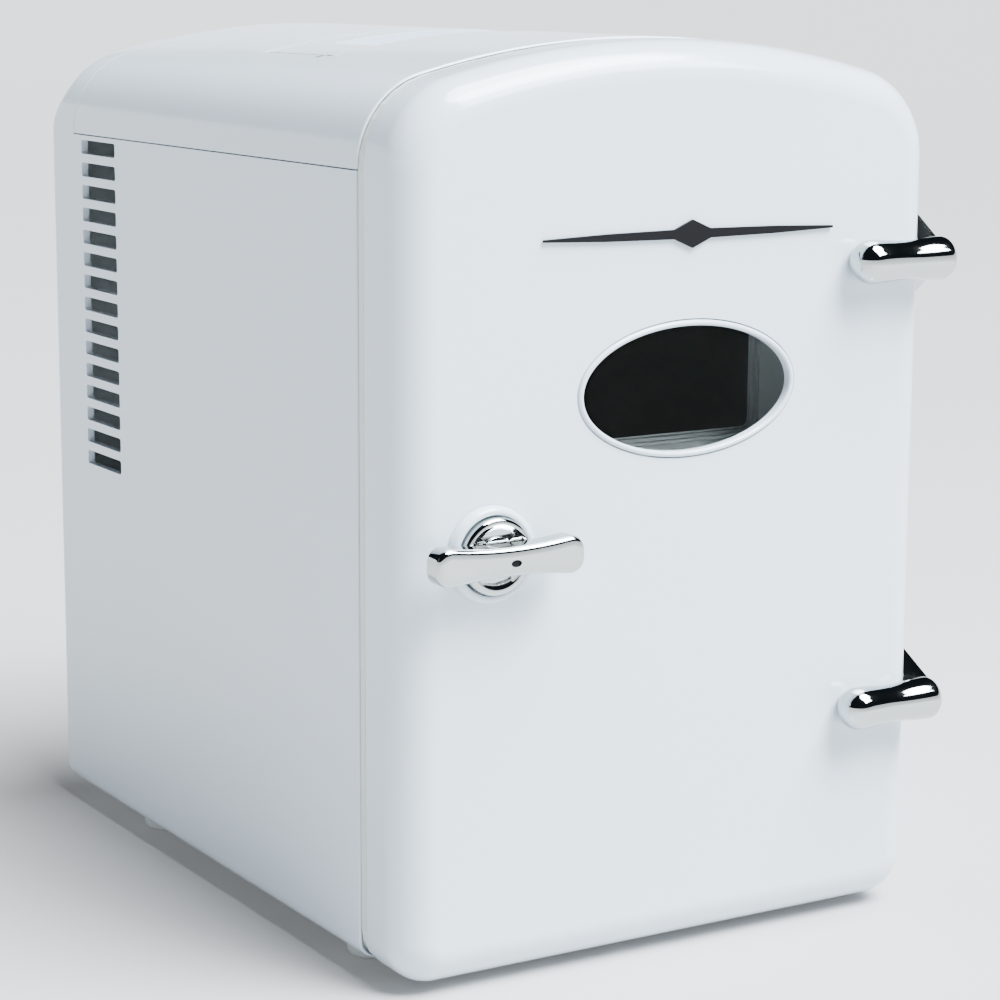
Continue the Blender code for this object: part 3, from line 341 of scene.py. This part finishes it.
def surface(name, dark, light, rough, metallic=0.0, tone_scale=9.0, grain=900.0, bump=0.02,
            bump_depth=0.0002, coat=0.0, stretch=None, specular=0.5):
    """Principled material with drifting colour, uneven gloss and a fine relief."""
    material = bpy.data.materials.new(name)
    material.use_nodes = True
    tree = material.node_tree
    shader = tree.nodes["Principled BSDF"]
    tone = noise(tree, tone_scale, 4.0)
    mix = tree.nodes.new("ShaderNodeMix")
    mix.data_type = "RGBA"
    mix.inputs[MIX_A].default_value = (*dark, 1.0)
    mix.inputs[MIX_B].default_value = (*light, 1.0)
    tree.links.new(tone, mix.inputs[MIX_FACTOR])
    tree.links.new(mix.outputs[MIX_RESULT], shader.inputs["Base Color"])
    wear = noise(tree, tone_scale * 6, 5.0, stretch)
    tree.links.new(ramp(tree, wear, *rough), shader.inputs["Roughness"])
    relief = tree.nodes.new("ShaderNodeBump")
    relief.inputs["Strength"].default_value = bump
    relief.inputs["Distance"].default_value = bump_depth
    tree.links.new(noise(tree, grain, 2.0, stretch), relief.inputs["Height"])
    tree.links.new(relief.outputs["Normal"], shader.inputs["Normal"])
    shader.inputs["Metallic"].default_value = metallic
    shader.inputs["Coat Weight"].default_value = coat
    shader.inputs["Coat Roughness"].default_value = 0.06
    shader.inputs["Specular IOR Level"].default_value = specular
    return material


def smoked(name):
    """Tinted clear pane that hardly bends light."""
    material = surface(name, (0.46, 0.48, 0.48), (0.54, 0.56, 0.56), (0.01, 0.03), bump=0.01)
    shader = material.node_tree.nodes["Principled BSDF"]
    shader.inputs["Transmission Weight"].default_value = 1.0
    shader.inputs["IOR"].default_value = 1.1
    return material


def make_materials():
    return {
        "body_white": surface("body_white", (0.60, 0.69, 0.78), (0.64, 0.725, 0.81),
                              (0.16, 0.24), grain=420.0, bump=0.05, coat=0.35),
        "liner": surface("liner", (0.60, 0.63, 0.635), (0.66, 0.69, 0.69), (0.34, 0.46),
                         grain=1500.0, bump=0.12),
        "foam": surface("foam", (0.72, 0.64, 0.42), (0.86, 0.80, 0.60), (0.85, 0.95),
                        grain=700.0, bump=0.8, bump_depth=0.0006, tone_scale=40.0),
        "gasket": surface("gasket", (0.46, 0.48, 0.49), (0.54, 0.56, 0.57), (0.55, 0.75),
                          grain=1200.0, bump=0.2),
        "foot": surface("foot", (0.50, 0.53, 0.54), (0.62, 0.65, 0.66), (0.30, 0.50),
                        grain=1400.0, bump=0.15),
        "chrome": surface("chrome", (0.47, 0.50, 0.50), (0.54, 0.565, 0.56), (0.03, 0.08),
                          metallic=1.0, tone_scale=30.0, grain=160.0, bump=0.03),
        "steel": surface("steel", (0.50, 0.51, 0.52), (0.62, 0.63, 0.64), (0.22, 0.40),
                         metallic=1.0, grain=900.0, bump=0.25, stretch=(1.0, 12.0, 1.0)),
        "smoked_pane": smoked("smoked_pane"),
        "black_trim": surface("black_trim", (0.004, 0.004, 0.005), (0.009, 0.009, 0.010),
                              (0.30, 0.42), grain=900.0, bump=0.05, specular=0.08),
        "black_plastic": surface("black_plastic", (0.020, 0.020, 0.021), (0.038, 0.038, 0.040),
                                 (0.38, 0.55), grain=2200.0, bump=0.35, specular=0.3),
        "aluminium": surface("aluminium", (0.66, 0.67, 0.68), (0.78, 0.79, 0.80), (0.25, 0.42),
                             metallic=1.0, grain=700.0, bump=0.3, stretch=(1.0, 1.0, 18.0)),
        "ceramic": surface("ceramic", (0.80, 0.80, 0.76), (0.90, 0.90, 0.87), (0.40, 0.60),
                           grain=1600.0, bump=0.2),
        "circuit_board": surface("circuit_board", (0.02, 0.17, 0.07), (0.05, 0.28, 0.12),
                                 (0.30, 0.50), tone_scale=120.0, grain=500.0, bump=0.3),
        "wire": surface("wire", (0.50, 0.03, 0.02), (0.62, 0.06, 0.04), (0.35, 0.50),
                        grain=900.0, bump=0.1),
    }


def paint_cad(materials):
    """Give every CAD node the material of its slot."""
    slots = {row["node"]: row["material_slot"] for row in frame["record"]["subparts"]}
    for node, obj in frame["nodes"].items():
        obj.data.materials.clear()
        obj.data.materials.append(materials[slots[node]])


# ---------------------------------------------------------------- cabinet
def solidify(obj, thickness):
    """Turn an open skin into a wall, grown inward."""
    modifier = obj.modifiers.new("wall", "SOLIDIFY")
    modifier.thickness = thickness * MM
    modifier.offset = -1.0
    modifier.use_even_offset = True
    return bake(obj)


def rear_radius(z):
    """Rounding of the rear edge: small on the sides, growing over the shoulder to the roof."""
    share = min(1.0, max(0.0, (z - spring_height(CABINET["peak"])) / REAR_EDGE["rise"]))
    return REAR_EDGE["side"] + REAR_EDGE["extra"] * share * share * (3 - 2 * share)


def cabinet_form(name, material):
    """Hollow arched box, open in front and rounded at the rear."""
    outline = arch(**CABINET)
    rings = [ring_at(outline, y, inset) for y, inset in FRONT_EDGE]
    for step in range(0, 91, 10):
        a = math.radians(step)
        ring = []
        for x, z, nx, nz in outline:
            r = rear_radius(z)
            inset = r * (1 - math.cos(a))
            ring.append((x - nx * inset, DEPTH - r * (1 - math.sin(a)), z - nz * inset))
        rings.append(ring)
    return solidify(loft(name, rings, material, caps=(False, True)), CABINET_WALL)


def rounded_rectangle(half, centre, r, steps=6):
    """Closed outline with rounded corners, with the outward normal at each point."""
    right, top = centre[0] + half[0] - r, centre[1] + half[1] - r
    left, bottom = centre[0] - half[0] + r, centre[1] - half[1] + r
    return (turn_points((right, bottom), r, -90, 0, steps)
            + turn_points((right, top), r, 0, 90, steps)
            + turn_points((left, top), r, 90, 180, steps)
            + turn_points((left, bottom), r, 180, 270, steps))


def flat(outline):
    """The outline without its normals."""
    return [(x, z) for x, z, _, _ in outline]


def vent_cutter():
    """The side slots, each with rounded ends, through both walls."""
    bm = bmesh.new()
    low, high = VENTS["y"]
    half = ((high - low) / 2, VENTS["height"] / 2)
    for i in range(VENTS["count"]):
        middle = VENTS["top"] - VENTS["pitch"] * i - half[1]
        outline = flat(rounded_rectangle(half, ((low + high) / 2, middle), VENTS["corner"], 4))
        rows = [[bm.verts.new(place(x, y, z)) for y, z in outline]
                for x in (-VENTS["reach"], VENTS["reach"])]
        for a in range(len(outline)):
            b = (a + 1) % len(outline)
            bm.faces.new((rows[0][a], rows[0][b], rows[1][b], rows[1][a]))
        bm.faces.new(rows[0])
        bm.faces.new(list(reversed(rows[1])))
    return new_object("vent_cutter", bm)


def crown_line(half, drop, steps=32):
    """Line across the roof, from the hinge side to the latch side, some way under its surface."""
    xs = [half - 2 * half * i / steps for i in range(steps + 1)]
    return [(x, crown_height(x) - drop) for x in xs]


def build_cabinet(materials):
    white = materials["body_white"]
    parting = spring_height(CABINET["peak"])
    shell = cabinet_form("cabinet_body", white)
    roof = cabinet_form("roof_skin", white)
    rear = flat(rounded_rectangle(REAR_ROOM["half"], REAR_ROOM["middle"], REAR_ROOM["corner"]))
    boolean(shell, "DIFFERENCE",
            block("roof_room", (-CUT_SIDE, CUT_FRONT, parting - PARTING_GAP),
                  (CUT_SIDE, ROOF_REAR + PARTING_GAP, CUT_TOP)),
            prism("rear_room", rear, *REAR_ROOM["y"]), vent_cutter())
    boolean(roof, "INTERSECT", block("roof_keep", (-CUT_SIDE, CUT_FRONT, parting),
                                     (CUT_SIDE, ROOF_REAR, CUT_TOP)))
    tray_half = POCKET_HALF + CABINET_WALL
    tray_floor = POCKET_FLOOR - CABINET_WALL
    tray_outline = crown_line(tray_half, TRAY_DROP)
    tray_outline += [(-tray_half, tray_floor), (tray_half, tray_floor)]
    boolean(roof, "UNION", prism("tray", tray_outline, POCKET_Y[0] - CABINET_WALL,
                                 POCKET_Y[1] + CABINET_WALL))
    pocket = block("pocket", (-POCKET_HALF, POCKET_Y[0], POCKET_FLOOR),
                   (POCKET_HALF, POCKET_Y[1], CUT_TOP))
    pins = rod("pin_room", PIN_RADIUS["handle"], PIN_HALF["roof"], HANDLE_PIVOT, "X", 24)
    boolean(roof, "DIFFERENCE", pocket, pins)
    for obj, node in ((shell, "cabinet_shell"), (roof, "roof_cover")):
        smooth(obj, 0.35, 2)
        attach(obj, "cabinet")
        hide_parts(node)


def build_handle(materials):
    top, bottom = (crown_line(HANDLE_HALF, drop) for drop in HANDLE_DROP)
    handle = prism("grip", top + bottom[::-1], *HANDLE_Y, materials["body_white"])
    half, (front, back), (low, high) = GRIP_ROOM["half"], GRIP_ROOM["y"], GRIP_ROOM["z"]
    boolean(handle, "DIFFERENCE", block("grip_room", (-half, front, low), (half, back, high)),
            rod("grip_pins", PIN_RADIUS["handle"], PIN_HALF["handle"], HANDLE_PIVOT, "X", 24))
    smooth(handle, 0.9, 3, 40)
    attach(handle, "carry_handle")
    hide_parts("carry_handle")


def build_feet(materials):
    for node in ("foot_front_left", "foot_front_right", "foot_rear_left", "foot_rear_right"):
        low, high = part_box(node)
        middle = (low + high) / 2 - ORIGIN
        foot = revolve("soft_" + node, FOOT_PROFILE, (middle.x / MM, middle.y / MM, 0.0), "Z",
                       materials["foot"], 48)
        smooth(foot)
        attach(foot, "cabinet")
        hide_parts(node)


# ---------------------------------------------------------------- door
def door_form(name, grow=0.0, material=None, open_back=True):
    """Arched door with a rounded front edge: an open skin, or a grown solid to cut with."""
    outline = arch(**DOOR)
    front = DOOR_FRONT - grow
    edge = DOOR_EDGE + grow
    back = DOOR_SEAM if open_back else 5.0
    rings = [ring_at(outline, back, -grow)]
    if open_back:
        rings = [ring_at(outline, back - step, inset) for step, inset in SEAM_EDGE]
    for i in range(13):
        a = math.radians(7.5 * i)
        rings.append(ring_at(outline, front + edge * (1 - math.sin(a)),
                             edge * (1 - math.cos(a)) - grow))
    return loft(name, rings, material, caps=(not open_back, True))


def build_door(materials):
    shell = solidify(door_form("door_skin", 0.0, materials["body_white"]), DOOR_WALL)
    hole = ellipse((WINDOW_HALF[0] + RIM + GAP, WINDOW_HALF[1] + RIM + GAP), WINDOW)
    boolean(shell, "DIFFERENCE", prism("window_room", hole, DOOR_FRONT - 5, DOOR_FRONT + 6),
            revolve("shaft_room", [(SHAFT_ROOM, -5.0), (SHAFT_ROOM, 6.0)],
                    (LATCH[0], DOOR_FRONT, LATCH[1]), "Y", steps=32))
    smooth(shell, 0.3, 2)
    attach(shell, "door")
    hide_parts("door_shell")


def build_window(materials):
    """Raised rim with a rounded face, and the stepped frame behind the glass."""
    rings = []
    for i in range(RIM_STEPS):
        a = 2 * math.pi * i / RIM_STEPS
        ring = []
        for out, depth in RIM_SECTION:
            ring.append((WINDOW[0] + (WINDOW_HALF[0] + out) * math.cos(a), DOOR_FRONT + depth,
                         WINDOW[1] + (WINDOW_HALF[1] + out) * math.sin(a)))
        rings.append(ring)
    rim = loft("rim_of_window", rings, materials["body_white"], closed=True)
    smooth(rim, angle=50)
    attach(rim, "door")
    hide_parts("window_rim")
    pane = (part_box("inner_pane")[0].y - ORIGIN.y) / MM
    back = pane - BEAD_LIFT
    for i, (inset, width, height) in enumerate(BEADS):
        half = (INNER_WINDOW_HALF[0] - inset, INNER_WINDOW_HALF[1] - inset)
        outline = rounded_rectangle(half, WINDOW, INNER_WINDOW_CORNER - inset)
        levels = ((back, 0.0), (pane - height, 0.0), (pane - height, width), (back, width))
        bead = loft("window_bead_" + str(i), [ring_at(outline, y, step) for y, step in levels],
                    materials["gasket"], closed=True)
        smooth(bead, 0.15, 2)
        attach(bead, "door")


# ---------------------------------------------------------------- latch
def arc_slot(name, radius, width, start, end, floor):
    """Solid arc about the latch's axis, to cut a slot down to its floor."""
    outer = turn_points(LATCH, radius + width / 2, start, end, 16)
    inner = turn_points(LATCH, radius - width / 2, end, start, 16)
    return prism(name, flat(outer + inner), DOOR_FRONT - SLOT_FRONT, DOOR_FRONT - floor)


def bar_outline():
    """Front outline of the bar, wider at its rounded ends, with outward normals."""
    xs = [-BAR_HALF + BAR_END * (1 - math.cos(math.radians(9 * i))) for i in range(10)]
    xs += [-BAR_HALF + BAR_END + (BAR_HALF - BAR_END) * i / 16 for i in range(1, 17)]
    xs += [-x for x in reversed(xs[:-1])]
    top = []
    for x in xs:
        left = min(1.0, (BAR_HALF - abs(x)) / BAR_END)
        top.append((x, BAR_WAIST + BAR_FLARE * (x / BAR_HALF) ** 2
                    - BAR_END * (1 - math.sqrt(1 - (1 - left) ** 2))))
    points = top + [(x, -z) for x, z in reversed(top)]
    outline = []
    for i, (x, z) in enumerate(points):
        before, after = points[i - 1], points[(i + 1) % len(points)]
        along = Vector((after[0] - before[0], after[1] - before[1])).normalized()
        outline.append((LATCH[0] + x, LATCH[1] + z, -along.y, along.x))
    return outline


def build_latch(materials):
    chrome = materials["chrome"]
    face = (LATCH[0], DOOR_FRONT, LATCH[1])
    collar = revolve("latch_collar", COLLAR_PROFILE, face, "Y", materials["body_white"],
                     closed=True)
    smooth(collar, angle=50)
    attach(collar, "door")
    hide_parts("latch_escutcheon")
    disc = revolve("latch_dial", DISC_PROFILE, face, "Y", chrome)
    boolean(disc, "DIFFERENCE", arc_slot("smile", **SMILE), arc_slot("crescent", **CRESCENT))
    smooth(disc, 0.12, 2, 40)
    outline = bar_outline()
    bar = loft("latch_grip", [ring_at(outline, BAR_Y[0] + step, inset)
                              for step, inset in BAR_PROFILE], chrome)
    # Oval dimple in the bar: a shallow recess, and a near-black insert just behind the bar's face
    # that paints the dimple's shade
    oval = ellipse(DIMPLE_HALF, (LATCH[0] + DIMPLE_SHIFT[0], LATCH[1] + DIMPLE_SHIFT[1]), 32)
    boolean(bar, "DIFFERENCE", prism("recess", oval, BAR_Y[0] - 1, BAR_Y[0] + DIMPLE_SHADE_Y[1]))
    smooth(bar, angle=45)
    dimple_shade = prism("latch_dimple_shade", oval, BAR_Y[0] + DIMPLE_SHADE_Y[0], BAR_Y[0] + DIMPLE_SHADE_Y[1],
                 materials["black_trim"])
    smooth(dimple_shade, 0.2, 2)
    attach(dimple_shade, "latch")
    for obj, node in ((disc, "latch_disc"), (bar, "latch_bar")):
        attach(obj, "latch")
        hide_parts(node)


# ---------------------------------------------------------------- hinges
def barrel(name, middle, material):
    """Bullet-shaped barrel, domed at its left end and pulled in at its waist."""
    length = BARREL_X[1] - BARREL_X[0]
    radius = BARREL_RADIUS
    profile = [(radius * math.sin(math.radians(a)), radius * (1 - math.cos(math.radians(a))))
               for a in range(0, 91, 9)]
    for i in range(1, 25):
        share = i / 24
        at = radius + (length - radius - BARREL_END) * share
        profile.append((radius - BARREL_WAIST * math.sin(math.pi * share) ** 2, at))
    for a in range(10, 91, 10):
        r = radius * (0.55 + 0.45 * math.cos(math.radians(a)))
        profile.append((r, length - BARREL_END + BARREL_END * math.sin(math.radians(a))))
    profile.append((0.0, length))
    return revolve(name, profile, (BARREL_X[0], BARREL_Y, middle), "X", material, 72)


def build_hinge(name, middle, materials):
    """Barrel, web, wing, arm and knuckle in one casting."""
    side = HALF_WIDTH + GAP
    casting = barrel("hinge_arm_" + name, middle, materials["chrome"])
    (inner, outer), (front, step, back) = WEB["x"], WEB["y"]
    reach = side + WEB["reach"]
    web_outline = [(inner, front), (outer, front), (reach, step), (reach, back), (inner, back)]
    web = loft("web", [[(x, y, middle + h) for x, y in web_outline]
                       for h in (-WEB["half"], WEB["half"])])
    root, tip = WING["root"], (side + WING["tip"][0], WING["tip"][1])
    near, far = WING["half"]
    start = side - WING["sunk"]
    wing = loft("wing", [[(start, face, middle + h), (end, face, middle + h),
                          (end, WING["back"], middle + h), (start, WING["back"], middle + h)]
                         for h, (end, face) in ((-far, tip), (-near, root), (near, root),
                                                (far, tip))])
    half = KNUCKLE["half"]
    arm = block("arm", (side + ARM["start"], ARM["front"], middle - half),
                (HINGE_X + ARM["past"], HINGE_Y, middle + half))
    axis = (HINGE_X, HINGE_Y, middle)
    eye = rod("eye", KNUCKLE["radius"], half, axis, "Z", 48)
    pin = rod("pin", PIN_RADIUS["hinge"], PIN_HALF["hinge"], axis, "Z", 32)
    boolean(casting, "UNION", web, wing, arm, eye)
    boolean(casting, "DIFFERENCE", door_form("seat", GAP, open_back=False), pin)
    smooth(casting, 0.25, 2, 38)
    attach(casting, "door")
    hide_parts("hinge_casting_" + name)


# ---------------------------------------------------------------- studio
def add_light(data, spot, target):
    light = bpy.data.objects.new(data.name, data)
    bpy.context.scene.collection.objects.link(light)
    light.location = spot
    light.rotation_mode = "QUATERNION"
    light.rotation_quaternion = (Vector(target) - Vector(spot)).to_track_quat("-Z", "Y")


def area(name, spot, target, size, power, colour):
    data = bpy.data.lights.new(name, "AREA")
    data.shape = "RECTANGLE"
    data.size, data.size_y = size
    data.energy = power
    data.color = colour
    add_light(data, spot, target)


def build_floor():
    """Pale floor that rises into a shallow bowl far away."""
    rings = [[(radius * math.cos(math.pi * i / 48), radius * math.sin(math.pi * i / 48), height)
              for i in range(96)] for radius, height in FLOOR_PROFILE]
    floor = loft("floor", rings, caps=(True, False))
    floor.location.z = -FLOOR_DROP
    material = bpy.data.materials.new("floor")
    material.use_nodes = True
    shader = material.node_tree.nodes["Principled BSDF"]
    shader.inputs["Base Color"].default_value = (FLOOR_GREY, FLOOR_GREY, FLOOR_GREY, 1.0)
    shader.inputs["Roughness"].default_value = 0.9
    shader.inputs["Emission Color"].default_value = (1.0, 1.0, 1.0, 1.0)
    shader.inputs["Emission Strength"].default_value = FLOOR_GLOW
    floor.data.materials.append(material)


def build_studio():
    """Floor, dark surroundings and three soft lights."""
    build_floor()
    world = bpy.data.worlds.new("studio")
    world.use_nodes = True
    background = world.node_tree.nodes["Background"]
    background.inputs["Color"].default_value = (*WORLD["colour"], 1.0)
    background.inputs["Strength"].default_value = WORLD["strength"]
    bpy.context.scene.world = world
    sun = bpy.data.lights.new("top", "SUN")
    sun.energy = SUN["power"]
    sun.angle = math.radians(SUN["angle"])
    sun.color = SUN["colour"]
    add_light(sun, (0.0, 0.0, 0.0), SUN["aim"])
    for name, values in AREAS.items():
        area(name, **values)


def build_camera():
    data = bpy.data.cameras.new("camera")
    data.lens = CAMERA_LENS
    data.sensor_width = CAMERA_SENSOR
    data.clip_start, data.clip_end = CAMERA_CLIP
    camera = bpy.data.objects.new("camera", data)
    bpy.context.scene.collection.objects.link(camera)
    columns = Matrix((CAMERA_RIGHT, CAMERA_UP, CAMERA_BACK)).transposed()
    camera.rotation_mode = "QUATERNION"
    camera.rotation_quaternion = columns.to_quaternion()
    camera.location = CAMERA_PLACE
    bpy.context.scene.camera = camera


def main():
    materials = make_materials()
    paint_cad(materials)
    build_cabinet(materials)
    build_handle(materials)
    build_feet(materials)
    build_door(materials)
    build_window(materials)
    build_latch(materials)
    for name, middle in HINGE_Z.items():
        build_hinge(name, middle, materials)
    build_studio()
    build_camera()


main()
